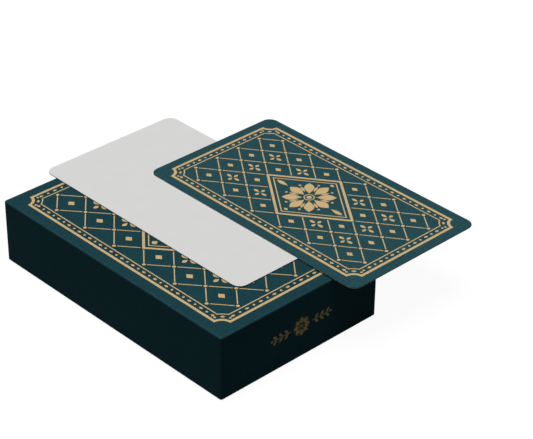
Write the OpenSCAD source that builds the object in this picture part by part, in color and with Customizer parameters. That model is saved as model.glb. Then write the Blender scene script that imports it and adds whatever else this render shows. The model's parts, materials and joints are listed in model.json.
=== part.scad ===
// Boxed deck of blank cards: a rigid box with a lift-off lid, made of greyboard panels wrapped in
// paper, a stack of cards in its tray, and two loose cards lying on the lid.
// Millimetres. The origin is the centre of the box's underside, X runs along the box and Z is up.
// The front is -Y and the right end is +X.

/* [Cards] */
// Length of a card
card_l = 120; // [80:1:150]
// Width of a card
card_w = 70; // [50:1:100]
// Thickness of a card
card_t = 0.5; // [0.3:0.05:0.7]
// Corner radius of a card
card_r = 4.2; // [1:0.1:10]
// Number of cards stacked in the tray
deck_count = 42; // [32:1:43]

/* [Boards and papers] */
// Thickness of the greyboard panels
board_t = 1.8; // [1:0.1:3]
// Thickness of the wrap and liner papers
paper_t = 0.2; // [0.1:0.05:0.4]
// Depth of the wrap turned in behind a rim
turn_in = 8; // [3:0.5:9]
// Radius of the wrap at the upright corners of the box
wrap_r = 0.5; // [0.2:0.05:1]

/* [Clearances] */
// Gap between the end of a card and the inside of the tray
end_gap = 1.2; // [0.4:0.1:4]
// Gap between the side of a card and the inside of the tray
side_gap = 1.95; // [0.4:0.05:6]
// Room between the top of the deck and the lid
head_gap = 3.6; // [0.5:0.1:12]
// Gap all round between the inside of the lid and the outside of the tray
slip_gap = 0.4; // [0.2:0.05:1.5]
// Height of the lid's rim above the surface that the box stands on
rim_gap = 0.5; // [0.2:0.1:4]
// Gap between the edge of a liner and the boards round it
liner_gap = 0.5; // [0.2:0.1:3]

/* [Loose cards] */
// Place of the blank card along the box, from the middle of the lid
blank_card_x = -13; // [-30:1:30]
// Place of the blank card across the box, from the middle of the lid
blank_card_y = 20; // [-25:1:25]
// Place of the back-up card along the box, from the middle of the blank card
back_card_dx = 31; // [-50:1:50]
// Place of the back-up card across the box, from the middle of the blank card
back_card_dy = 31; // [-32:1:32]

/* [Hidden] */
$fn = 64;
function grow(size, by) = [size.x + 2 * by, size.y + 2 * by];
function card_name(i) = str(i < 10 ? "card_0" : "card_", i);

// Outlines from the cards outwards, as [length, width]
card_size = [card_l, card_w];
tray_in = [card_l + 2 * end_gap, card_w + 2 * side_gap];
tray_board_in = grow(tray_in, paper_t);
tray_board_out = grow(tray_board_in, board_t);
tray_out = grow(tray_board_out, paper_t);
lid_in = grow(tray_out, slip_gap);
lid_board_in = grow(lid_in, paper_t);
lid_board_out = grow(lid_board_in, board_t);
lid_out = grow(lid_board_out, paper_t);

// Heights from the underside upwards
floor_z = paper_t;
floor_top = floor_z + board_t;
deck_z = floor_top + paper_t;
deck_top = deck_z + deck_count * card_t;
tray_rim = deck_top + head_gap;
tray_board_top = tray_rim - paper_t;
lid_panel_z = tray_rim + paper_t;
lid_panel_top = lid_panel_z + board_t;
box_h = lid_panel_top + paper_t;
lid_board_z = rim_gap + paper_t;

// A wider radius would let the boards' square corners through the wrap
wrap_corner_r = min(wrap_r, 3 * paper_t);
// How far a cut runs past the face that it opens
overcut = 1;

teal = [0.12, 0.25, 0.28];
dark_teal = [0.05, 0.12, 0.14];
board_grey = [0.52, 0.50, 0.46];
card_white = [0.90, 0.90, 0.89];
back_teal = [0.16, 0.30, 0.32];

BOX_NODES = [
    "base_sheet", "base_floor_board", "base_front_board", "base_back_board", "base_left_board",
    "base_right_board", "base_wrap", "base_liner",
    "lid_top_board", "lid_front_board", "lid_back_board", "lid_left_board", "lid_right_board",
    "lid_wrap", "lid_liner"
];

// Rectangle with round corners, centred
module rounded_rect(size, r) {
    square([size.x - 2 * r, size.y], center = true);
    square([size.x, size.y - 2 * r], center = true);
    for (sx = [-1, 1], sy = [-1, 1])
        translate([sx * (size.x / 2 - r), sy * (size.y / 2 - r)])
            circle(r);
}

// Flat sheet or panel with square corners, centred, from z0 upwards
module panel(size, thickness, z0) {
    translate([0, 0, z0])
        linear_extrude(thickness)
            square(size, center = true);
}

// Wall panel along the front (side -1) or the back (side 1) of a tray, over its full length
module long_board(outer, z0, z1, side) {
    translate([0, side * (outer.y - board_t) / 2, z0])
        linear_extrude(z1 - z0)
            square([outer.x, board_t], center = true);
}

// Wall panel at the left (side -1) or the right (side 1) end of a tray, between the long panels
module end_board(outer, z0, z1, side) {
    translate([side * (outer.x - board_t) / 2, 0, z0])
        linear_extrude(z1 - z0)
            square([board_t, outer.y - 2 * board_t], center = true);
}

// Wrap round the walls of a tray, with its rim at z 0: outside, over the rim and turned in behind it
module wrap_band(outer, board_outer, board_inner, inside, height) {
    difference() {
        linear_extrude(height)
            rounded_rect(outer, wrap_corner_r);
        translate([0, 0, -overcut])
            linear_extrude(height + 2 * overcut)
                square(inside, center = true);
        translate([0, 0, paper_t])
            linear_extrude(height)
                difference() {
                    square(board_outer, center = true);
                    square(board_inner, center = true);
                }
        translate([0, 0, turn_in])
            linear_extrude(height)
                square(board_outer, center = true);
    }
}

// One card, centred on its place, from z0 upwards
module card(at, z0) {
    translate([at.x, at.y, z0])
        linear_extrude(card_t)
            rounded_rect(card_size, card_r);
}

// The tray
module base_sheet() {
    color(dark_teal)
        linear_extrude(paper_t)
            rounded_rect(tray_out, wrap_corner_r);
}

module base_floor_board() {
    color(board_grey)
        panel(tray_board_out, board_t, floor_z);
}

module base_front_board() {
    color(board_grey)
        long_board(tray_board_out, floor_top, tray_board_top, -1);
}

module base_back_board() {
    color(board_grey)
        long_board(tray_board_out, floor_top, tray_board_top, 1);
}

module base_left_board() {
    color(board_grey)
        end_board(tray_board_out, floor_top, tray_board_top, -1);
}

module base_right_board() {
    color(board_grey)
        end_board(tray_board_out, floor_top, tray_board_top, 1);
}

module base_wrap() {
    color(dark_teal)
        translate([0, 0, tray_rim])
            mirror([0, 0, 1])
                wrap_band(tray_out, tray_board_out, tray_board_in, tray_in, tray_rim - floor_z);
}

module base_liner() {
    color(card_white)
        panel(grow(tray_board_in, -liner_gap), paper_t, floor_top);
}

// The lid
module lid_top_board() {
    color(board_grey)
        panel(lid_board_out, board_t, lid_panel_z);
}

module lid_front_board() {
    color(board_grey)
        long_board(lid_board_out, lid_board_z, lid_panel_z, -1);
}

module lid_back_board() {
    color(board_grey)
        long_board(lid_board_out, lid_board_z, lid_panel_z, 1);
}

module lid_left_board() {
    color(board_grey)
        end_board(lid_board_out, lid_board_z, lid_panel_z, -1);
}

module lid_right_board() {
    color(board_grey)
        end_board(lid_board_out, lid_board_z, lid_panel_z, 1);
}

module lid_wrap() {
    color(teal) {
        translate([0, 0, rim_gap])
            wrap_band(lid_out, lid_board_out, lid_board_in, lid_in, box_h - rim_gap);
        translate([0, 0, lid_panel_top])
            linear_extrude(paper_t)
                rounded_rect(lid_out, wrap_corner_r);
    }
}

module lid_liner() {
    color(card_white)
        panel(grow(lid_board_in, -liner_gap), paper_t, tray_rim);
}

// The cards: those in the tray, numbered from the bottom, and the two that lie on the lid
module deck_card(i) {
    color(back_teal)
        card([0, 0], deck_z + (i - 1) * card_t);
}

module blank_card() {
    color(card_white)
        card([blank_card_x, blank_card_y], box_h);
}

module back_card() {
    color(back_teal)
        card([blank_card_x + back_card_dx, blank_card_y + back_card_dy], box_h + card_t);
}

base_sheet();
base_floor_board();
base_front_board();
base_back_board();
base_left_board();
base_right_board();
base_wrap();
base_liner();
lid_top_board();
lid_front_board();
lid_back_board();
lid_left_board();
lid_right_board();
lid_wrap();
lid_liner();
for (i = [1:deck_count])
    deck_card(i);
blank_card();
back_card();
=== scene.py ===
"""Looks of a boxed deck of blank cards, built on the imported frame.

The cards, the wrap papers, the sheet under the tray, the gold print and the boards that reach a corner
of the box are modelled here. The end boards and the liners keep the frame's own shapes and get their
finishes here. Sizes are in metres.
"""
import cmath
import json
import logging
import math
import random
from abc import ABC, abstractmethod
from collections.abc import Iterable, Sequence
from dataclasses import dataclass, field
from enum import Enum
from itertools import accumulate, pairwise
from typing import TypeAlias

import bmesh
import bpy
from mathutils import Matrix, Quaternion, Vector


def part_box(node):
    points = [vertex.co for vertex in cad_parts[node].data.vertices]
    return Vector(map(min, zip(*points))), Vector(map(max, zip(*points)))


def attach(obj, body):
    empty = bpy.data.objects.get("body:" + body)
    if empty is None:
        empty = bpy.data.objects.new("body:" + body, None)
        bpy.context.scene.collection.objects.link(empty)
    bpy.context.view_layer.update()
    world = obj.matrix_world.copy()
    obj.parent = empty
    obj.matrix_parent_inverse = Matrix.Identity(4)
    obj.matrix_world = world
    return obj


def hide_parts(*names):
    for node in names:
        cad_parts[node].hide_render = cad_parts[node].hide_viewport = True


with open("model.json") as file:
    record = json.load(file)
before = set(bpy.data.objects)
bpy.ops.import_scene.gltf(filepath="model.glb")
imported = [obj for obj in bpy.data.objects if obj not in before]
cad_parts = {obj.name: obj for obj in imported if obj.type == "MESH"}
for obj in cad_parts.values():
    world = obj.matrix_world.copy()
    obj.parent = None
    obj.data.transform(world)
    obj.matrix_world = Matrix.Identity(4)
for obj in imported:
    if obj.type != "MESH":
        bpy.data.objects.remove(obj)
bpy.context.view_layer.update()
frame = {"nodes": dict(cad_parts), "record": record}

MM = 0.001
LOG = logging.getLogger("card_deck")

# A point in plan is x + y * 1j, so that turning it is a product
Outline: TypeAlias = list[complex]
Point: TypeAlias = tuple[float, float, float]
Profile: TypeAlias = list[tuple[float, float]]
Colour: TypeAlias = tuple[float, float, float, float]
Term: TypeAlias = "Value | float"
Sockets: TypeAlias = dict[str | int, object]

WHITE: Colour = (1.0, 1.0, 1.0, 1.0)
# One unit along both axes of the plan
BOTH_WAYS = 1 + 1j
QUARTER_TURN = math.pi / 2
# Round corners that are moved in keep at least this radius
LEAST_RADIUS = 0.02 * MM
# Edges that turn more than this stay sharp
SHARP_ANGLE = math.radians(40)
# Strength of each finer layer of noise beside the layer before it
FINER_SHARE = 0.55
PRINT_THICKNESS = 0.03 * MM
# Name of the flat map that the finishes are baked through
BAKE_MAP = "OFBake"


class Slot(Enum):
    """Material slots of the record."""

    BOARD = "greyboard"
    WRAP = "box_wrap"
    CARD = "card_stock"
    PRINT = "gold_print"


class Up(Enum):
    """The side of a card that lies on top."""

    FACE = "face"
    BACK = "back"


def ink(red: int, green: int, blue: int) -> Colour:
    """Turns a colour as a screen shows it, 0 to 255, into the linear colour that shaders take.

    Args:
        red: Red part.
        green: Green part.
        blue: Blue part.

    Returns:
        The linear colour, opaque.
    """
    parts = (part / 255 for part in (red, green, blue))
    linear = [part / 12.92 if part <= 0.04045 else ((part + 0.055) / 1.055) ** 2.4 for part in parts]
    return (*linear, 1.0)


# Shader maths
@dataclass(frozen=True)
class Value:
    """An output of a shader node that stands in Python expressions; each operator adds a Math node."""

    paint: "Paint"
    node: bpy.types.Node
    key: str | int

    @property
    def socket(self) -> bpy.types.NodeSocket:
        """The node's socket that the value comes from."""
        return self.node.outputs[self.key]

    def _math(self, operation: str, first: Term, second: Term = 0.0, clamp: bool = False) -> "Value":
        """Adds one Math node and gives its result."""
        settings = {"operation": operation, "use_clamp": clamp}
        return self.paint.node("ShaderNodeMath", settings, {0: first, 1: second})

    def __add__(self, other: Term) -> "Value":
        """Sum."""
        return self._math("ADD", self, other)

    def __radd__(self, other: Term) -> "Value":
        """Sum with a number before it."""
        return self._math("ADD", other, self)

    def __sub__(self, other: Term) -> "Value":
        """Difference."""
        return self._math("SUBTRACT", self, other)

    def __rsub__(self, other: Term) -> "Value":
        """Difference from a number."""
        return self._math("SUBTRACT", other, self)

    def __mul__(self, other: Term) -> "Value":
        """Product."""
        return self._math("MULTIPLY", self, other)

    def __rmul__(self, other: Term) -> "Value":
        """Product with a number before it."""
        return self._math("MULTIPLY", other, self)

    def __truediv__(self, other: Term) -> "Value":
        """Quotient."""
        return self._math("DIVIDE", self, other)

    def __rtruediv__(self, other: Term) -> "Value":
        """Quotient of a number by it."""
        return self._math("DIVIDE", other, self)

    def __abs__(self) -> "Value":
        """Size without its sign."""
        return self._math("ABSOLUTE", self)

    def least(self, other: Term) -> "Value":
        """The smaller of two values."""
        return self._math("MINIMUM", self, other)

    def most(self, other: Term) -> "Value":
        """The larger of two values."""
        return self._math("MAXIMUM", self, other)

    def kept_in_unit(self) -> "Value":
        """The value, held between 0 and 1."""
        return self._math("ADD", self, 0.0, clamp=True)

    def between(self, low: float, high: float) -> "Value":
        """Goes from one number to another as the value goes from 0 to 1."""
        return low + (high - low) * self

    def output(self, key: str) -> "Value":
        """Another output of the same node."""
        return Value(self.paint, self.node, key)


class Paint:
    """The nodes of one material or world."""

    def __init__(self, owner: bpy.types.Material | bpy.types.World) -> None:
        """Turns a material's or world's nodes on, and takes out those that it comes with.

        Args:
            owner: The material or world.
        """
        owner.use_nodes = True
        self.tree = owner.node_tree
        self.tree.nodes.clear()

    def node(
        self,
        kind: str,
        settings: dict[str, object] | None = None,
        sockets: Sockets | None = None,
        output: str | int = 0,
    ) -> Value:
        """Adds one node.

        Args:
            kind: Blender's name of the node's type.
            settings: Properties of the node, which are set first.
            sockets: Values of its inputs, or other outputs to link to them.
            output: The output that the result stands for.

        Returns:
            That output, for further expressions.
        """
        made = self.tree.nodes.new(kind)
        for name, setting in (settings or {}).items():
            setattr(made, name, setting)
        for key, given in (sockets or {}).items():
            if isinstance(given, Value):
                self.tree.links.new(given.socket, made.inputs[key])
            else:
                made.inputs[key].default_value = given
        return Value(self, made, output)

    def place(self) -> Value:
        """The point on the piece, in metres from the piece's own origin."""
        return self.node("ShaderNodeTexCoord", output="Object")

    def stretched(self, along_x: float, along_y: float, along_z: float) -> Value:
        """The point on the piece with its axes scaled, for grain that runs one way."""
        sockets = {0: self.place(), 1: (along_x, along_y, along_z)}
        return self.node("ShaderNodeVectorMath", {"operation": "MULTIPLY"}, sockets)

    def grain(self, size: float, detail: float = 2.0, at: Value | None = None) -> Value:
        """Cloudy noise from about 0 to 1.

        Args:
            size: Width of one cloud.
            detail: How much finer noise is laid over it.
            at: Point to read it at, if not the piece's own.

        Returns:
            The noise.
        """
        at = at or self.place()
        sockets = {"Vector": at, "Scale": 1 / size, "Detail": detail, "Roughness": FINER_SHARE}
        return self.node("ShaderNodeTexNoise", sockets=sockets, output="Fac")

    def blend(self, first: Colour | Value, second: Colour | Value, share: Value) -> Value:
        """Goes from one colour to another.

        Args:
            first: Colour where the share is 0.
            second: Colour where the share is 1.
            share: How much of the second colour there is.

        Returns:
            The colour.
        """
        first_input, second_input, colour_output = 6, 7, 2
        sockets = {0: share, first_input: first, second_input: second}
        return self.node("ShaderNodeMix", {"data_type": "RGBA"}, sockets, colour_output)

    def relief(self, height: Value, depth: float) -> Value:
        """Normal of a surface whose height goes from 0 to 1 over a depth."""
        return self.node("ShaderNodeBump", sockets={"Strength": 1.0, "Distance": depth, "Height": height})

    def surface(self, sockets: Sockets) -> None:
        """Ends the nodes in one shader that these values and links feed."""
        shader = self.node("ShaderNodeBsdfPrincipled", sockets=sockets)
        self.node("ShaderNodeOutputMaterial", sockets={"Surface": shader})


# Finishes
@dataclass(frozen=True)
class Cloud:
    """Coarse noise that has a share in a finish's colour beside the fine grain."""

    size: float
    share: float
    detail: float = 3.0


@dataclass(frozen=True)
class Finish:
    """A finish whose fine grain sets its sheen, its relief and, with its clouds, its colour."""

    name: str
    dark: Colour
    light: Colour
    clouds: tuple[Cloud, ...] = ()
    grain_size: float = 0.4 * MM
    grain_detail: float = 2.0
    grain_depth: float = 0.005 * MM
    smoothest: float = 0.5
    roughest: float = 0.7
    gloss: float = 0.1

    def grain(self, paint: Paint) -> Value:
        """The fine grain, from about 0 to 1."""
        return paint.grain(self.grain_size, self.grain_detail)

    def colour(self, paint: Paint, grain: Value) -> Value:
        """Makes the colour, from dark to light with the grain and the clouds.

        Args:
            paint: The material's nodes.
            grain: The fine grain.

        Returns:
            The colour.
        """
        lightness = grain
        for cloud in self.clouds:
            lightness = lightness + cloud.share * (paint.grain(cloud.size, cloud.detail) - grain)
        return paint.blend(self.dark, self.light, lightness)

    def sockets(self, paint: Paint, grain: Value) -> Sockets:
        """Works out what feeds the shader.

        Args:
            paint: The material's nodes.
            grain: The fine grain.

        Returns:
            Values and links for the shader's sockets.
        """
        return {
            "Base Color": self.colour(paint, grain),
            "Roughness": grain.between(self.smoothest, self.roughest),
            "Normal": paint.relief(grain, self.grain_depth),
            "Specular IOR Level": self.gloss,
        }

    def material(self) -> bpy.types.Material:
        """Gives the finish's material, made when it is first asked for.

        Returns:
            The material.
        """
        found = bpy.data.materials.get(self.name)
        if found is None:
            found = bpy.data.materials.new(self.name)
            paint = Paint(found)
            paint.surface(self.sockets(paint, self.grain(paint)))
        return found


@dataclass(frozen=True)
class BlankStock(Finish):
    """White, uncoated card: a fine tooth with faint clouds in the pulp."""

    dark: Colour = ink(222, 222, 221)
    light: Colour = ink(233, 233, 232)
    clouds: tuple[Cloud, ...] = (Cloud(size=9 * MM, share=0.5),)
    grain_size: float = 0.35 * MM
    grain_depth: float = 0.006 * MM
    smoothest: float = 0.62
    roughest: float = 0.82


@dataclass(frozen=True)
class InkedPaper(Finish):
    """Paper with a solid print under a matt film: ink that is thinner on the fibres and in patches."""

    dark: Colour = ink(11, 37, 44)
    light: Colour = ink(56, 102, 109)
    clouds: tuple[Cloud, ...] = (Cloud(size=1.1 * MM, share=0.4, detail=2.0), Cloud(size=11 * MM, share=0.2))
    roughest: float = 0.66
    gloss: float = 0.01


@dataclass(frozen=True)
class BoxWrap(InkedPaper):
    """Printed wrap of a box, paler along the box's edges: partly rubbed wear, partly a painted highlight."""

    # Darker than the card back's ink, which paints in the shade of cards held above the lid
    dark: Colour = ink(2, 29, 36)
    light: Colour = ink(43, 87, 95)
    # Paler ink for the edges: rubbed wear and a painted highlight
    rubbed_and_highlight: Colour = ink(84, 122, 128)
    # Half the box's length and width, and its lowest and highest levels
    half: complex = 0j
    low: float = 0.0
    high: float = 0.0
    rub_and_highlight_width: float = 1.1 * MM
    rub_and_highlight_patch: float = 6 * MM
    rub_and_highlight_detail: float = 4.0
    most_rub_and_highlight: float = 0.3

    def colour(self, paint: Paint, grain: Value) -> Value:
        """Makes the ink, with the paler edges over it: rubbed wear and a painted highlight.

        Args:
            paint: The material's nodes.
            grain: Height of the fibres.

        Returns:
            The colour.
        """
        point = paint.node("ShaderNodeSeparateXYZ", sockets={0: paint.place()}, output="X")
        to_end = self.half.real - abs(point)
        to_side = self.half.imag - abs(point.output("Y"))
        height = point.output("Z")
        to_rim = (self.high - height).least(height - self.low)
        # On a face one distance is 0, so the middle one of the three is the distance to the nearest edge
        nearer = to_end.least(to_side)
        farther = to_end.most(to_side)
        to_edge = nearer.most(farther.least(to_rim))
        patches = paint.grain(self.rub_and_highlight_patch, self.rub_and_highlight_detail)
        # Paler along every edge, in patches: rubbed wear and a painted highlight
        rub_and_highlight = (1 - to_edge / self.rub_and_highlight_width).kept_in_unit() * patches
        return paint.blend(super().colour(paint, grain), self.rubbed_and_highlight, self.most_rub_and_highlight * rub_and_highlight)


@dataclass(frozen=True)
class CutEdge(Finish):
    """Cut edge of a ply of card, with layers of fibre that run along it."""

    dark: Colour = ink(196, 195, 191)
    light: Colour = ink(226, 225, 222)
    grain_size: float = 0.05 * MM
    grain_depth: float = 0.01 * MM
    smoothest: float = 0.78
    roughest: float = 0.93
    gloss: float = 0.05
    run: float = 3 * MM

    def grain(self, paint: Paint) -> Value:
        """The layers of fibre, from about 0 to 1."""
        at = paint.stretched(1 / self.run, 1 / self.run, 1 / self.grain_size)
        return paint.grain(1.0, self.grain_detail, at)


@dataclass(frozen=True)
class GoldPrint(Finish):
    """Flat metallic ink with fine flake and a slightly uneven lay."""

    dark: Colour = ink(166, 137, 86)
    light: Colour = ink(222, 192, 138)
    clouds: tuple[Cloud, ...] = (Cloud(size=7 * MM, share=0.4),)
    grain_detail: float = 1.0
    grain_depth: float = 0.004 * MM
    roughest: float = 0.64
    gloss: float = 0.5
    least_metal: float = 0.1
    most_metal: float = 0.3

    def sockets(self, paint: Paint, grain: Value) -> Sockets:
        """Adds the metal of the flake to what feeds the shader."""
        return super().sockets(paint, grain) | {"Metallic": grain.between(self.least_metal, self.most_metal)}


@dataclass(frozen=True)
class PulpBoard(Finish):
    """Greyboard pressed from waste paper: grey pulp with pale fibres and dark flecks."""

    dark: Colour = ink(139, 134, 125)
    light: Colour = ink(172, 168, 160)
    grain_size: float = 0.9 * MM
    grain_detail: float = 4.0
    grain_depth: float = 0.04 * MM
    smoothest: float = 0.82
    roughest: float = 0.94
    fleck: Colour = ink(92, 88, 82)
    fleck_pitch: float = 1.6 * MM
    fleck_reach: float = 0.22
    fleck_patch: float = 8 * MM

    def colour(self, paint: Paint, grain: Value) -> Value:
        """Makes the pulp and the flecks in it.

        Args:
            paint: The material's nodes.
            grain: The fibres.

        Returns:
            The colour.
        """
        sockets = {"Vector": paint.place(), "Scale": 1 / self.fleck_pitch}
        distance = paint.node("ShaderNodeTexVoronoi", sockets=sockets, output="Distance")
        flecks = (1 - distance / self.fleck_reach).kept_in_unit() * paint.grain(self.fleck_patch)
        return paint.blend(super().colour(paint, grain), self.fleck, flecks)


WHITE_STOCK = BlankStock("blank_card_face")
LINER_PAPER = BlankStock(
    "white_liner",
    dark=ink(208, 206, 200),
    light=ink(226, 224, 219),
    clouds=(Cloud(size=14 * MM, share=0.5),),
    grain_size=0.6 * MM,
    grain_depth=0.012 * MM,
)
CARD_BACK = InkedPaper("inked_card_back")
WHITE_EDGE = CutEdge("cut_edge_of_face_ply")
INKED_EDGE = CutEdge("cut_edge_of_back_ply", dark=ink(22, 48, 54), light=ink(38, 66, 72))
GOLD = GoldPrint("gold_metal_ink")
# A darker copy of the gold for the print on the end: painted shade, and less gloss
DULL_SHADED_GOLD = GoldPrint("dull_gold_ink_with_painted_shade", dark=ink(94, 80, 44), light=ink(132, 113, 67), gloss=0.1)
GREYBOARD = PulpBoard("grey_pulp_board")


# Outlines in plan, all anticlockwise
def corners_of(half: complex) -> tuple[complex, ...]:
    """Corners of a centred rectangle that is twice as long and wide as half."""
    return half, -half.conjugate(), -half, half.conjugate()


def rounded_rect(half: complex, radius: float, steps: int, depth: float) -> Outline:
    """Outlines a centred rectangle with round corners, moved in by a depth.

    Args:
        half: Half its length and half its width, before it is moved in.
        radius: Radius of its corners, before it is moved in.
        steps: Straight runs in each corner.
        depth: How far in it is moved.

    Returns:
        The outline.
    """
    kept = max(radius - depth, LEAST_RADIUS)
    return [
        centre + cmath.rect(kept, (quarter + step / steps) * QUARTER_TURN)
        for quarter, centre in enumerate(corners_of(half - (depth + kept) * BOTH_WAYS))
        for step in range(steps + 1)
    ]


def notched_rect(half: complex, notch: float, depth: float, steps: int = 10) -> Outline:
    """Outlines a centred rectangle with hollow round corners, moved in by a depth.

    Args:
        half: Half its length and half its width, before it is moved in.
        notch: Radius of the hollow corners, before it is moved in.
        depth: How far in it is moved.
        steps: Straight runs in each corner.

    Returns:
        The outline.
    """
    radius = notch + depth
    start = math.asin(depth / radius)
    sweep = QUARTER_TURN - 2 * start
    # The hollow of the first corner runs from below the corner to the left of it
    below = 3 * QUARTER_TURN
    return [
        corner + cmath.rect(radius, below + quarter * QUARTER_TURN - start - sweep * step / steps)
        for quarter, corner in enumerate(corners_of(half))
        for step in range(steps + 1)
    ]


def lozenge(centre: complex, long_way: complex, half_width: float) -> Outline:
    """Outlines a lozenge.

    Args:
        centre: Its middle.
        long_way: From its middle to one of its long tips.
        half_width: From its middle to one of its other tips.

    Returns:
        The outline.
    """
    across = 1j * half_width * long_way / abs(long_way)
    return [centre + long_way, centre + across, centre - long_way, centre - across]


def disc(centre: complex, radius: float, sides: int = 20) -> Outline:
    """Outlines a round dot."""
    return [centre + cmath.rect(radius, 2 * math.pi * side / sides) for side in range(sides)]


def petal(root: complex, tip: complex, half_width: float, steps: int = 12) -> Outline:
    """Outlines a pointed petal that is widest past its middle.

    Args:
        root: Its inner point.
        tip: Its outer point.
        half_width: Half its greatest width.
        steps: Straight runs along each side.

    Returns:
        The outline.
    """
    swell = 1.25
    along = tip - root
    across = 1j * half_width * along / abs(along)
    shares = [step / steps for step in range(steps + 1)]
    bulge = [math.sin(math.pi * share**swell) for share in shares]
    right = [root + along * share - across * out for share, out in zip(shares[:-1], bulge)]
    left = [root + along * share + across * out for share, out in zip(shares[1:], bulge[1:])]
    return right + left[::-1]


def rounding(radius: float, steps: int) -> Profile:
    """Gives the profile of a round edge, from the side up to the top.

    Args:
        radius: Radius of the edge.
        steps: Straight runs in it.

    Returns:
        Depths from the side, and drops from the top.
    """
    turns = [QUARTER_TURN * step / steps for step in range(steps + 1)]
    return [(radius * (1 - math.cos(turn)), radius * (1 - math.sin(turn))) for turn in turns]


# Meshes
@dataclass
class Draft:
    """The points and faces of a mesh in the making."""

    points: list[Point] = field(default_factory=list, init=False)
    faces: list[list[int]] = field(default_factory=list, init=False)
    finish_numbers: list[int] = field(default_factory=list, init=False)

    def loop(self, points: Iterable[Point]) -> list[int]:
        """Adds points.

        Args:
            points: Their places.

        Returns:
            Their numbers.
        """
        first = len(self.points)
        self.points += points
        return list(range(first, len(self.points)))

    def ring(self, outline: Outline, height: float) -> list[int]:
        """Adds the points of an outline at a height and gives their numbers."""
        return self.loop((point.real, point.imag, height) for point in outline)

    def face(self, corners: list[int], finish: int = 0) -> None:
        """Adds a face with one of the mesh's finishes."""
        self.faces.append(corners)
        self.finish_numbers.append(finish)

    def band(self, first: list[int], second: list[int], finish: int = 0) -> None:
        """Joins two rings of as many points with a band of faces.

        Args:
            first: Numbers of the one ring's points.
            second: Numbers of the other's.
            finish: Finish of the band.
        """
        for here in range(len(first)):
            before = here - 1
            self.face([first[before], first[here], second[here], second[before]], finish)

    def skin(self, rings: list[list[int]], looped: bool = False) -> None:
        """Joins rings, one after another, into a closed solid.

        Args:
            rings: Numbers of the rings' points.
            looped: Whether the last ring joins the first; if not, both are capped.
        """
        for first, second in pairwise(rings + rings[:1] if looped else rings):
            self.band(first, second)
        if not looped:
            self.face(rings[0])
            self.face(rings[-1])

    def loft(self, sections: Iterable[tuple[Outline, float]], looped: bool = False) -> None:
        """Joins outlines, each at its own height, into a closed solid."""
        self.skin([self.ring(outline, height) for outline, height in sections], looped)

    def mesh(self, name: str, finishes: Sequence[Finish]) -> bpy.types.Mesh:
        """Makes the mesh, with its faces turned outward and its sharp edges marked.

        Args:
            name: The mesh's name.
            finishes: Its finishes, in the order of their numbers.

        Returns:
            The mesh.
        """
        made = bpy.data.meshes.new(name)
        made.from_pydata(self.points, [], self.faces)
        made.polygons.foreach_set("material_index", self.finish_numbers)
        for finish in finishes:
            made.materials.append(finish.material())
        work = bmesh.new()
        work.from_mesh(made)
        bmesh.ops.recalc_face_normals(work, faces=work.faces)
        work.to_mesh(made)
        work.free()
        made.shade_smooth()
        made.set_sharp_from_angle(angle=SHARP_ANGLE)
        return made


def add_object(name: str, data: bpy.types.ID) -> bpy.types.Object:
    """Puts a mesh, lamp or camera into the scene.

    Args:
        name: The object's name.
        data: What it holds.

    Returns:
        The object.
    """
    made = bpy.data.objects.new(name, data)
    bpy.context.scene.collection.objects.link(made)
    return made


def add_piece(
    name: str,
    mesh: bpy.types.Mesh,
    body: str,
    place: Matrix | None = None,
    replaced: str | None = None,
) -> bpy.types.Object:
    """Puts a mesh into the scene as a piece that rides on a body.

    Args:
        name: The piece's name.
        mesh: Its mesh.
        body: Body that it rides on.
        place: Its place, if its mesh isn't in place already.
        replaced: Node of the frame that it stands for, if any.

    Returns:
        The piece.
    """
    piece = add_object(name, mesh)
    piece.matrix_world = place or Matrix.Identity(4)
    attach(piece, body)
    if replaced:
        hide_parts(replaced)
    LOG.info("%s: %d faces on %s", name, len(mesh.polygons), body)
    return piece


def dress_node(node: str, finish: Finish) -> None:
    """Gives a node of the frame, which keeps its shape, a finish.

    Args:
        node: The node's name.
        finish: Its finish.
    """
    for slot in frame["nodes"][node].material_slots:
        slot.material = finish.material()
    LOG.info("%s: %s", node, finish.name)


# Gold print
@dataclass
class FlatPrint(Draft):
    """A print in the making: flat shapes of one thickness, with their underside at height 0."""

    def solid(self, outline: Outline) -> None:
        """Draws one filled shape."""
        self.loft([(outline, 0.0), (outline, PRINT_THICKNESS)])

    def strip(self, outer: Outline, inner: Outline) -> None:
        """Draws the strip between two outlines of as many points."""
        top = PRINT_THICKNESS
        self.loft([(outer, 0.0), (outer, top), (inner, top), (inner, 0.0)], looped=True)

    def line(self, start: complex, end: complex, thickness: float) -> None:
        """Draws one straight line with square ends."""
        aside = 0.5j * thickness * (end - start) / abs(end - start)
        self.solid([start - aside, end - aside, end + aside, start + aside])


@dataclass(frozen=True)
class Rosette:
    """A flower with sepals and beads between its petals; its other sizes are shares of its reach."""

    reach: float
    petals: int = 8
    petal_root: float = 0.25
    petal_width: float = 0.19
    sepal_root: float = 0.4
    sepal_tip: float = 0.8
    sepal_width: float = 0.05
    bead_place: float = 0.9
    bead: float = 0.05
    eye: float = 0.1
    ring_outside: float = 0.21
    ring_inside: float = 0.165

    def draw(self, target: FlatPrint) -> None:
        """Draws the flower round the origin.

        Args:
            target: The print that it is drawn in.
        """
        reach = self.reach
        for number in range(self.petals):
            way = cmath.rect(reach, 2 * math.pi * number / self.petals)
            between = way * cmath.rect(1, math.pi / self.petals)
            sepal_root, sepal_tip = self.sepal_root * between, self.sepal_tip * between
            target.solid(petal(self.petal_root * way, way, self.petal_width * reach))
            target.solid(petal(sepal_root, sepal_tip, self.sepal_width * reach))
            target.solid(disc(self.bead_place * between, self.bead * reach))
        target.solid(disc(0, self.eye * reach))
        target.strip(disc(0, self.ring_outside * reach), disc(0, self.ring_inside * reach))


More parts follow.
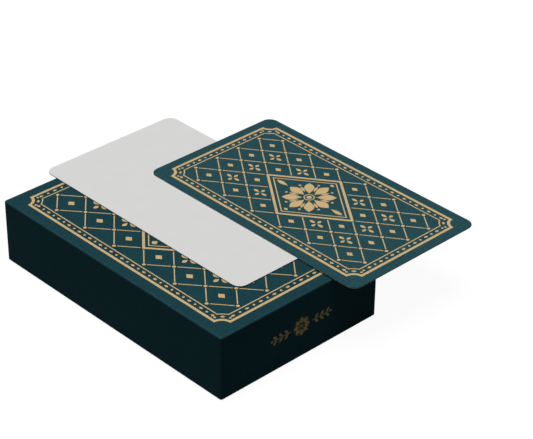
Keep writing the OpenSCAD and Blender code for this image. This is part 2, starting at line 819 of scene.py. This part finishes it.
@dataclass
class EndSprig(FlatPrint):
    """Small print for an end of the box: a rosette between two leafy stems."""

    rosette: Rosette = Rosette(4.4 * MM)
    stem_start: float = 5.6 * MM
    stem_end: float = 14.6 * MM
    stem_line: float = 0.35 * MM
    leaf: complex = (2.4 + 2.0j) * MM
    leaf_width: float = 0.6 * MM
    leaf_pairs: int = 3
    first_pair: float = 0.35
    bead: float = 0.55 * MM

    def __post_init__(self) -> None:
        """Draws the rosette and both stems."""
        self.rosette.draw(self)
        pitch = (self.stem_end - self.stem_start) / self.leaf_pairs
        for side in (1, -1):
            self.line(side * self.stem_start, side * self.stem_end, self.stem_line)
            self.solid(disc(side * (self.stem_end + 2 * self.bead), self.bead))
            for number in range(self.leaf_pairs):
                root = self.stem_start + (number + self.first_pair) * pitch
                for leaf in (self.leaf, self.leaf.conjugate()):
                    clear = self.stem_line * leaf / abs(leaf)
                    self.solid(petal(side * (root + clear), side * (root + leaf), self.leaf_width))


@dataclass
class Ornament(FlatPrint):
    """Large print of a panel: a beaded border, a trellis and a rosette in a lozenge."""

    length: float
    width: float
    margin: float = 4.4 * MM
    # Border; the spread is a share of the corner's quarter turn
    notch: float = 4.2 * MM
    border_line: float = 1.2 * MM
    border_band: float = 2.9 * MM
    inner_line: float = 0.5 * MM
    bead: float = 0.52 * MM
    bead_pitch: float = 3.4 * MM
    bead_lozenge: complex = (1.09 + 0.65j) * MM
    corner_spread: float = 0.28
    # Trellis; the figures in its cells are shares of half a cell
    field_gap: float = 1.6 * MM
    columns: int = 6
    rows: int = 4
    trellis_line: float = 0.45 * MM
    trellis_bead: float = 0.75 * MM
    trellis_gap: float = 0.5 * MM
    cell_lozenge: float = 0.21
    flower_root: float = 0.06
    flower_tip: float = 0.46
    flower_width: float = 0.115
    # Medallion; the petals in its tips are shares of its rosette's reach
    medallion_cells: int = 3
    medallion_line: float = 1.1 * MM
    medallion_inset: float = 1.76 * MM
    tip_petal_root: float = 1.1
    tip_petal_width: float = 0.09

    def __post_init__(self) -> None:
        """Draws the print from its border to its middle."""
        self.draw_border_lines()
        self.draw_border_sides()
        self.draw_border_corners()
        self.draw_trellis()
        self.draw_medallion()

    @property
    def half(self) -> complex:
        """Half the length and width of the border's outside."""
        return complex(self.length, self.width) / 2 - self.margin * BOTH_WAYS

    @property
    def bead_depth(self) -> float:
        """How far in from the border's outside its row of beads runs."""
        return self.border_line + self.border_band / 2

    @property
    def bead_turn(self) -> float:
        """Radius of the row of beads round a hollow corner."""
        return self.notch + self.bead_depth

    @property
    def field_depth(self) -> float:
        """How far in from the border's outside the trellis starts."""
        return self.border_line + self.border_band + self.inner_line + self.field_gap

    @property
    def cell(self) -> complex:
        """Half the length and width of one cell of the trellis."""
        inside = self.half - self.field_depth * BOTH_WAYS
        return complex(inside.real / self.columns, inside.imag / self.rows)

    @property
    def medallion_tips(self) -> complex:
        """From the middle of the medallion to its tips, along the panel and across it."""
        return self.cell * self.medallion_cells

    @property
    def medallion_reach(self) -> float:
        """From the middle of the medallion to its sides."""
        return self.medallion_tips.real * self.medallion_tips.imag / abs(self.medallion_tips)

    def draw_border_lines(self) -> None:
        """Draws the border's thick line and the thin one inside it."""
        inside = self.border_line + self.border_band
        for depth, thickness in ((0.0, self.border_line), (inside, self.inner_line)):
            outer, inner = (notched_rect(self.half, self.notch, at) for at in (depth, depth + thickness))
            self.strip(outer, inner)

    def draw_bead(self, centre: complex, along: complex, pointed: bool) -> None:
        """Draws one figure of the row between the border's lines.

        Args:
            centre: Its middle.
            along: Direction of the border there.
            pointed: Whether it is a lozenge; if not, it is a round bead.
        """
        if pointed:
            self.solid(lozenge(centre, along * self.bead_lozenge.real, self.bead_lozenge.imag))
        else:
            self.solid(disc(centre, self.bead))

    def draw_border_sides(self) -> None:
        """Draws the row along the straight sides, with a lozenge in the middle of each."""
        hollow = math.sqrt(self.bead_turn**2 - self.bead_depth**2)
        length, width = self.half.real, self.half.imag
        for along, reach, aside in ((1, length - hollow, width), (1j, width - hollow, length)):
            most = int(reach / self.bead_pitch)
            pitch = 2 * reach / (2 * most + 1)
            for step in range(-most, most + 1):
                for side in (1j * along, -1j * along):
                    centre = along * step * pitch + side * (aside - self.bead_depth)
                    self.draw_bead(centre, along, step % 2 == 0)

    def draw_border_corners(self) -> None:
        """Draws the row round the hollow corners, with a lozenge in the middle of each."""
        for quarter, corner in enumerate(corners_of(self.half)):
            inward = -cmath.rect(1, (quarter + 1 / 2) * QUARTER_TURN)
            for step in (-1, 0, 1):
                way = inward * cmath.rect(1, step * self.corner_spread * QUARTER_TURN)
                self.draw_bead(corner + self.bead_turn * way, 1j * way, step == 0)

    def spot(self, column: int, row: int) -> complex:
        """Place of a point of the trellis, whose column and row are counted from the middle."""
        return complex(column * self.cell.real, row * self.cell.imag)

    def in_field(self, column: int, row: int) -> bool:
        """Tells whether a point of the trellis lies clear of the border and the medallion.

        Args:
            column: Its column.
            row: Its row.

        Returns:
            Whether it is drawn.
        """
        column, row = abs(column), abs(row)
        clear = abs(self.half - self.spot(column, row)) >= self.notch + self.field_depth
        return clear and column <= self.columns and row <= self.rows and column + row >= self.medallion_cells

    def draw_trellis(self) -> None:
        """Draws the trellis, whose crossings and cells take turns along each row and column."""
        for column in range(-self.columns, self.columns + 1):
            for row in range(-self.rows, self.rows + 1):
                if not self.in_field(column, row):
                    continue
                if (abs(column) + abs(row) - self.medallion_cells) % 2 == 0:
                    self.draw_crossing(column, row)
                elif abs(column) < self.columns and abs(row) < self.rows:
                    self.draw_cell(column, row)

    def draw_crossing(self, column: int, row: int) -> None:
        """Draws the bead on a crossing and the two lines from it to the next column.

        Args:
            column: The crossing's column.
            row: The crossing's row.
        """
        at = self.spot(column, row)
        ring = abs(column) + abs(row)
        if ring > self.medallion_cells:
            self.solid(disc(at, self.trellis_bead))
        for step in (1, -1):
            next_ring = abs(column + 1) + abs(row + step)
            on_medallion = ring == next_ring == self.medallion_cells
            if self.in_field(column + 1, row + step) and not on_medallion:
                way = complex(self.cell.real, step * self.cell.imag)
                clear = (self.trellis_bead + self.trellis_gap) * way / abs(way)
                self.line(at + clear, at + way - clear, self.trellis_line)

    def draw_cell(self, column: int, row: int) -> None:
        """Draws the figure in a cell: four petals in every other row, a lozenge in the rest.

        Args:
            column: The cell's column.
            row: The cell's row.
        """
        wide, high = self.cell.real, self.cell.imag
        centre = self.spot(column, row)
        if row % 2:
            self.solid(lozenge(centre, self.cell_lozenge * wide, self.cell_lozenge * high))
            return
        for way in lozenge(0, wide, high):
            root, tip = centre + self.flower_root * way, centre + self.flower_tip * way
            self.solid(petal(root, tip, self.flower_width * high))

    def medallion(self, depth: float) -> Outline:
        """Outline of the medallion, moved in by a depth."""
        size = 1 - depth / self.medallion_reach
        return lozenge(0, size * self.medallion_tips.real, size * self.medallion_tips.imag)

    def draw_medallion(self) -> None:
        """Draws the medallion's two lines, the rosette in it and a petal in each of its tips."""
        half_line = self.medallion_line / 2
        inside = self.medallion_inset + self.inner_line
        self.strip(self.medallion(-half_line), self.medallion(half_line))
        self.strip(self.medallion(self.medallion_inset), self.medallion(inside))
        clear = inside + self.medallion_line
        reach = self.medallion_reach - clear
        Rosette(reach).draw(self)
        for tip in self.medallion(clear):
            root = self.tip_petal_root * reach * tip / abs(tip)
            self.solid(petal(root, tip, self.tip_petal_width * reach))


# Cards
@dataclass(frozen=True)
class CardMap:
    """Flat map of a card's surface: both sides, and beside them the bands of its edge as upright strips.

    The strips are wider than the bands are, so that a bake through the map shows both plies.
    """

    size: complex
    bands: int
    strip: float = 0.03
    gap: float = 0.01

    @property
    def scale(self) -> float:
        """Length on the map of a unit of length on a side."""
        return (1 - self.bands * (self.strip + self.gap) - 2 * self.gap) / self.size.real

    def on_side(self, side: int, point: complex) -> complex:
        """Spot for a point of the first side, 0, or of the second, 1, which lies above it on the map."""
        start = self.gap + side * (self.gap + self.size.imag * self.scale)
        return complex(self.gap, start) + (self.size / 2 + point) * self.scale

    def on_band(self, band: int, across: int, along: float) -> complex:
        """Spot for a point of a band round the edge; both shares of the band go from 0 to 1."""
        start = 1 - (self.bands - band) * (self.strip + self.gap)
        return complex(start + across * self.strip, self.gap + along * (1 - 2 * self.gap))


@dataclass
class CardMaker:
    """Makes the cards, which are all alike: a white face ply on a printed back ply."""

    corner_radius: float = 4.2 * MM
    corner_steps: int = 14
    edge_round: float = 0.05 * MM
    face_ply: float = 0.26 * MM
    # Left free above and below each card, so that no two cards share a face
    air: float = 0.01 * MM

    def __post_init__(self) -> None:
        """Reads a card's size from the frame and makes the meshes that all cards share."""
        low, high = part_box("blank_card")
        length, width, self.thickness = high - low
        self.size = complex(length, width)
        self.stock = self.stock_mesh()
        self.back_print = Ornament(length, width).mesh("card_print", [GOLD])

    @property
    def back_height(self) -> float:
        """Height of the printed back above the middle of the card's thickness."""
        return self.thickness / 2 - self.air - PRINT_THICKNESS

    def outline(self, depth: float) -> Outline:
        """Outline of a card, moved in by a depth."""
        return rounded_rect(self.size / 2, self.corner_radius, self.corner_steps, depth)

    def stock_mesh(self) -> bpy.types.Mesh:
        """Makes a card's mesh, centred, with its back on top.

        Returns:
            The mesh.
        """
        face, back, edge = self.air - self.thickness / 2, self.back_height, self.edge_round
        sections = (
            (edge, face), (0.0, face + edge), (0.0, face + self.face_ply), (0.0, back - edge), (edge, back),
        )
        draft = Draft()
        rings = [draft.ring(self.outline(depth), height) for depth, height in sections]
        white_face, white_edge, inked_edge, inked_back = range(4)
        edges = (white_edge, white_edge, inked_edge, inked_edge)
        draft.face(rings[0], white_face)
        for (first, second), finish in zip(pairwise(rings), edges):
            draft.band(first, second, finish)
        draft.face(rings[-1], inked_back)
        mesh = draft.mesh("card_stock", [WHITE_STOCK, WHITE_EDGE, INKED_EDGE, CARD_BACK])
        self.lay_out(mesh, len(edges))
        return mesh

    def lay_out(self, mesh: bpy.types.Mesh, bands: int) -> None:
        """Lays a card's surface out on its flat map.

        Args:
            mesh: The card's mesh: one side, the bands of the edge, then the other side.
            bands: Number of bands.
        """
        card_map = CardMap(self.size, bands)
        outline = self.outline(0.0)
        count = len(outline)
        ends = list(accumulate(abs(outline[here] - outline[here - 1]) for here in range(count)))
        starts = [0.0, *ends]
        layer = mesh.uv_layers.new(name=BAKE_MAP)
        for face in mesh.polygons:
            band, here = divmod(face.index - 1, count)
            for corner, point in zip(face.loop_indices, face.vertices):
                ring, step = divmod(point, count)
                if len(face.vertices) == count:
                    spot = card_map.on_side(min(ring, 1), outline[step])
                else:
                    # A face of a band ends at the point of the outline that has its number
                    run = ends[here] if step == here else starts[here]
                    spot = card_map.on_band(band, ring - band, run / ends[-1])
                layer.uv[corner].vector = (spot.real, spot.imag)

    def make(
        self, node: str, body: str, up: Up, printed: bool, shift: complex = 0j, turn: float = 0.0
    ) -> None:
        """Makes one card.

        Args:
            node: Node of the frame that it stands for.
            body: Body that it rides on.
            up: The side that lies on top.
            printed: Whether its gold print can be seen at any pose.
            shift: How far it lies off the node's middle.
            turn: How far it is turned, in radians.
        """
        low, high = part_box(node)
        middle = (low + high) / 2 + Vector((shift.real, shift.imag, 0.0))
        place = Matrix.Translation(middle) @ Matrix.Rotation(turn, 4, "Z")
        if up is Up.FACE:
            place = place @ Matrix.Rotation(math.pi, 4, "X")
        add_piece(f"{node}_stock", self.stock, body, place, node)
        if printed:
            above = Matrix.Translation((0.0, 0.0, self.back_height))
            add_piece(f"{node}_print", self.back_print, body, place @ above)


@dataclass
class Deck:
    """The stacked cards, not quite flush with each other, as a deck squared up by hand."""

    maker: CardMaker
    packets: tuple[str, ...] = ("lower_deck", "upper_deck", "top_card")
    most_shift: float = 0.16 * MM
    most_turn: float = math.radians(0.08)
    seed: int = 44

    def build(self) -> None:
        """Makes the cards of each packet, from the bottom up; a packet's top card shows its print."""
        hand = random.Random(self.seed)
        for body in self.packets:
            nodes = sorted(frame["record"]["behaviour"]["bodies"][body])
            for node in nodes:
                shift = complex(hand.uniform(-1, 1), hand.uniform(-1, 1)) * self.most_shift
                turn = hand.uniform(-1, 1) * self.most_turn
                self.maker.make(node, body, Up.BACK, node == nodes[-1], shift, turn)


@dataclass
class LooseCards:
    """The two cards that lie on the lid: one shows its blank face, the other its printed back."""

    maker: CardMaker

    def build(self) -> None:
        """Makes both cards."""
        self.maker.make("blank_card", "blank_card", Up.FACE, printed=True)
        self.maker.make("back_card", "back_card", Up.BACK, printed=True)


# Box
@dataclass
class BoxHalf(ABC):
    """The tray or the lid: greyboard in a wrap paper that is folded over the rim and turned in behind it."""

    body: str
    # Paper at the rim: how far it is turned in, and the radius of its folds
    turn_in: float = 8 * MM
    fold: float = 0.25 * MM
    fold_steps: int = 2
    # Upright corners of the wrap
    corner_round: float = 1.0 * MM
    round_steps: int = 6
    # Flaps at the ends
    lap_margin: float = 1.6 * MM
    lap_thickness: float = 0.06 * MM
    lap_taper: float = 1.5 * MM

    def __post_init__(self) -> None:
        """Reads the sizes of the wrap and of a board from the frame."""
        low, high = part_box(f"{self.body}_wrap")
        self.low, self.high = low.z, high.z
        self.half = complex(high.x - low.x, high.y - low.y) / 2
        board_low, board_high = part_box(f"{self.body}_front_board")
        self.board = board_high.y - board_low.y
        self.paper = board_low.y - low.y
        self.wrap_paper = BoxWrap(f"{self.body}_wrap_paper", half=self.half, low=self.low, high=self.high)

    @abstractmethod
    def level(self, from_rim: float) -> float:
        """Height of what lies so far from the rim."""

    def rim_profile(self) -> Profile:
        """Profile of the paper at the rim, from the cut edge inside to the fold outside.

        Returns:
            Depths from the outside, and heights.
        """
        # Depths of the board's inner face, and of the paper that is turned in behind it
        board_back = self.paper + self.board
        paper_back = board_back + self.paper
        bend = rounding(self.fold, self.fold_steps)
        behind = [(board_back, self.paper), (board_back, self.turn_in), (paper_back, self.turn_in)]
        under = [(paper_back - depth, from_rim) for depth, from_rim in bend] + bend[::-1]
        return [(depth, self.level(from_rim)) for depth, from_rim in behind + under]

    def add_laps(self, draft: Draft, reach: float) -> None:
        """Adds the flaps at both ends, which lie over the corners of the long sides' paper.

        Args:
            draft: The wrap in the making.
            reach: How far from the rim they come out of the paper.
        """
        sunk = -self.paper / 2
        profile = (
            (sunk, self.fold), (self.lap_thickness, self.fold), (self.lap_thickness, reach - self.lap_taper),
            (0.0, reach), (sunk, reach),
        )
        side = self.half.imag - self.lap_margin
        for end in (1, -1):
            rings = [
                draft.loop((end * (self.half.real + out), y, self.level(at)) for out, at in profile)
                for y in (-side, side)
            ]
            draft.skin(rings)

    def add_wrap(self, profile: Profile, looped: bool, lap_reach: float) -> None:
        """Makes the wrap, with the shading of its narrow faces taken from the large ones beside them.

        Args:
            profile: Depths from the outside, and heights, all along the paper.
            looped: Whether the profile closes on itself; if not, the paper closes over the top.
            lap_reach: How far from the rim the flaps at the ends come out of the paper.
        """
        node = f"{self.body}_wrap"
        sections = [
            (rounded_rect(self.half, self.corner_round, self.round_steps, depth), height)
            for depth, height in profile
        ]
        draft = Draft()
        draft.loft(sections, looped)
        self.add_laps(draft, lap_reach)
        mesh = draft.mesh(f"{node}_mesh", [self.wrap_paper])
        piece = add_piece(f"{node}_sheet", mesh, self.body, replaced=node)
        piece.modifiers.new("even_shading", "WEIGHTED_NORMAL").keep_sharp = True

    def build_panel(
        self, name: str, finish: Finish = GREYBOARD, slot: Slot = Slot.BOARD, top_round: float = 0.0
    ) -> None:
        """Makes a board or sheet in place of its node, with upright corners pressed round like the wrap's.

        Args:
            name: Its node's name, without the body.
            finish: Its finish.
            slot: Material slot of the record; not used.
            top_round: Radius of its upper edges.
        """
        node = f"{self.body}_{name}"
        low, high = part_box(node)
        size = high - low
        half = complex(size.x, size.y) / 2
        corner_round = self.corner_round - (self.half.real - half.real)
        top = rounding(top_round, self.round_steps) if top_round else [(0.0, 0.0)]
        profile = [(0.0, 0.0)] + [(depth, size.z - drop) for depth, drop in top]
        draft = Draft()
        draft.loft(
            (rounded_rect(half, corner_round, self.round_steps, depth), height) for depth, height in profile
        )
        place = Matrix.Translation(((low.x + high.x) / 2, (low.y + high.y) / 2, low.z))
        add_piece(f"{node}_panel", draft.mesh(f"{node}_mesh", [finish]), self.body, place, node)

    def build_walls(self) -> None:
        """Makes the long walls, and dresses the end walls between them and the liner."""
        for side in ("front", "back"):
            self.build_panel(f"{side}_board")
        for side in ("left", "right"):
            dress_node(f"{self.body}_{side}_board", GREYBOARD)
        dress_node(f"{self.body}_liner", LINER_PAPER)


@dataclass
class Tray(BoxHalf):
    """The tray that holds the deck; its rim is its upper edge."""

    body: str = "base"

    def level(self, from_rim: float) -> float:
        """Height of what lies so far below the rim."""
        return self.high - from_rim

    def build_wrap(self) -> None:
        """Makes the wrap as one closed band that ends at the sheet under the tray."""
        outer = [(0.0, self.low), (self.paper, self.low)]
        inner = [(self.paper, self.level(self.paper))]
        self.add_wrap(self.rim_profile() + outer + inner, looped=True, lap_reach=self.high - self.low)

    def build(self) -> None:
        """Makes the tray."""
        self.build_panel("sheet", self.wrap_paper, Slot.WRAP)
        self.build_panel("floor_board")
        self.build_walls()
        self.build_wrap()


@dataclass
class Lid(BoxHalf):
    """The lid that goes down over the tray; its rim is its lower edge."""

    body: str = "lid"
    edge_round: float = 0.7 * MM
    inner_bevel: float = 0.3 * MM
    board_edge_round: float = 0.6 * MM
    print_margin: float = 5.2 * MM

    @property
    def top(self) -> float:
        """Height of the paper on top, which the print stands on."""
        return self.high - PRINT_THICKNESS

    def level(self, from_rim: float) -> float:
        """Height of what lies so far above the rim."""
        return self.low + from_rim

    def build_wrap(self) -> None:
        """Makes the wrap as one closed sheet that goes over the top."""
        under = self.high - self.paper
        inner = [
            (self.paper + self.inner_bevel, under), (self.paper, under - self.inner_bevel),
            (self.paper, self.level(self.paper)),
        ]
        over = [(depth, self.top - drop) for depth, drop in rounding(self.edge_round, self.round_steps)]
        lap_reach = self.top - self.edge_round - self.low
        self.add_wrap(inner + self.rim_profile() + over, looped=False, lap_reach=lap_reach)

    def build_prints(self) -> None:
        """Makes the gold print on the top and the small one on the right end."""
        size = 2 * self.half
        ornament = Ornament(size.real, size.imag, self.print_margin).mesh("lid_print_mesh", [GOLD])
        on_top = Matrix.Translation((0.0, 0.0, self.top))
        add_piece("lid_print", ornament, self.body, on_top)
        # The print on the end gets the darker gold, as painted shade
        sprig = EndSprig().mesh("lid_end_print_mesh", [DULL_SHADED_GOLD])
        end = (self.half.real + self.lap_thickness, 0.0, (self.low + self.high) / 2)
        # Stands the print up, along the end and facing outward
        upright = Matrix(((0, 0, 1, 0), (1, 0, 0, 0), (0, 1, 0, 0), (0, 0, 0, 1)))
        add_piece("lid_end_print", sprig, self.body, Matrix.Translation(end) @ upright)

    def build(self) -> None:
        """Makes the lid."""
        self.build_panel("top_board", top_round=self.board_edge_round)
        self.build_walls()
        self.build_wrap()
        self.build_prints()


# Studio
@dataclass(frozen=True)
class Studio:
    """Plain white floor, one wide soft light from above, and the camera."""

    floor_half: float = 4.0
    # How far the floor lies below the box, so that the two share no face
    floor_drop: float = 0.05 * MM
    # The floor's own grey, and how bright it shows where it is lit in full
    floor_grey: float = 0.08
    floor_white: float = 1.02
    light_strength: float = 2.6
    light_width: float = math.radians(40)
    light_from: Vector = Vector((-0.09, -0.06, 1.0))
    fill: float = 0.03
    lens: float = 127.93
    sensor: float = 36.0
    camera_place: Vector = Vector((485.06, -421.79, 434.43)) * MM
    camera_target: Vector = Vector((0.74, 43.41, 14.5)) * MM
    camera_roll: float = math.radians(0.67)

    def seen_directly(self, paint: Paint) -> Value:
        """1 where the camera, a reflection or a clear piece shows the background, and 0 elsewhere."""
        path = paint.node("ShaderNodeLightPath", output="Is Camera Ray")
        return path.most(path.output("Is Glossy Ray")).most(path.output("Is Transmission Ray"))

    def floor_material(self) -> bpy.types.Material:
        """Makes the floor's material, which shows white where it is lit in full and keeps the shadow.

        Returns:
            The material.
        """
        material = bpy.data.materials.new("studio_floor")
        paint = Paint(material)
        grey = (self.floor_grey,) * 3 + (1.0,)
        diffuse = paint.node("ShaderNodeBsdfDiffuse", sockets={"Color": grey})
        lit = self.floor_grey * (self.light_strength / math.pi + self.fill)
        glow = paint.node("ShaderNodeEmission", sockets={"Strength": self.floor_white - lit})
        white = paint.node("ShaderNodeAddShader", sockets={0: diffuse, 1: glow})
        seen = self.seen_directly(paint)
        mixed = paint.node("ShaderNodeMixShader", sockets={0: seen, 1: diffuse, 2: white})
        paint.node("ShaderNodeOutputMaterial", sockets={"Surface": mixed})
        return material

    def build_floor(self) -> None:
        """Makes the floor."""
        mesh = bpy.data.meshes.new("floor")
        corners = corners_of(self.floor_half * BOTH_WAYS)
        mesh.from_pydata([(at.real, at.imag, -self.floor_drop) for at in corners], [], [range(len(corners))])
        mesh.materials.append(self.floor_material())
        add_object("floor", mesh)

    def build_light(self) -> None:
        """Makes the light from above and the faint light from all round."""
        light = bpy.data.lights.new("soft_light", "SUN")
        light.energy = self.light_strength
        light.angle = self.light_width
        lamp = add_object("soft_light", light)
        lamp.rotation_mode = "QUATERNION"
        lamp.rotation_quaternion = (-self.light_from).to_track_quat("-Z", "Y")
        world = bpy.data.worlds.new("studio")
        bpy.context.scene.world = world
        paint = Paint(world)
        fill = paint.node("ShaderNodeBackground", sockets={"Color": WHITE, "Strength": self.fill})
        white = paint.node("ShaderNodeBackground", sockets={"Color": WHITE, "Strength": 1.0})
        seen = self.seen_directly(paint)
        mixed = paint.node("ShaderNodeMixShader", sockets={0: seen, 1: fill, 2: white})
        paint.node("ShaderNodeOutputWorld", sockets={"Surface": mixed})

    def build_camera(self) -> None:
        """Makes the camera, rolled a little."""
        camera = bpy.data.cameras.new("camera")
        camera.lens = self.lens
        camera.sensor_width = self.sensor
        viewer = add_object("camera", camera)
        viewer.location = self.camera_place
        viewer.rotation_mode = "QUATERNION"
        level = (self.camera_target - self.camera_place).to_track_quat("-Z", "Y")
        viewer.rotation_quaternion = level @ Quaternion((0.0, 0.0, 1.0), self.camera_roll)
        bpy.context.scene.camera = viewer

    def build(self) -> None:
        """Sets up the floor, the light and the camera."""
        self.build_floor()
        self.build_light()
        self.build_camera()
        bpy.context.scene.view_settings.view_transform = "Standard"


def main() -> None:
    """Builds the object and its studio."""
    logging.basicConfig(level=logging.INFO, format="%(message)s")
    Studio().build()
    Tray().build()
    Lid().build()
    maker = CardMaker()
    Deck(maker).build()
    LooseCards(maker).build()


if __name__ == "__main__":
    main()
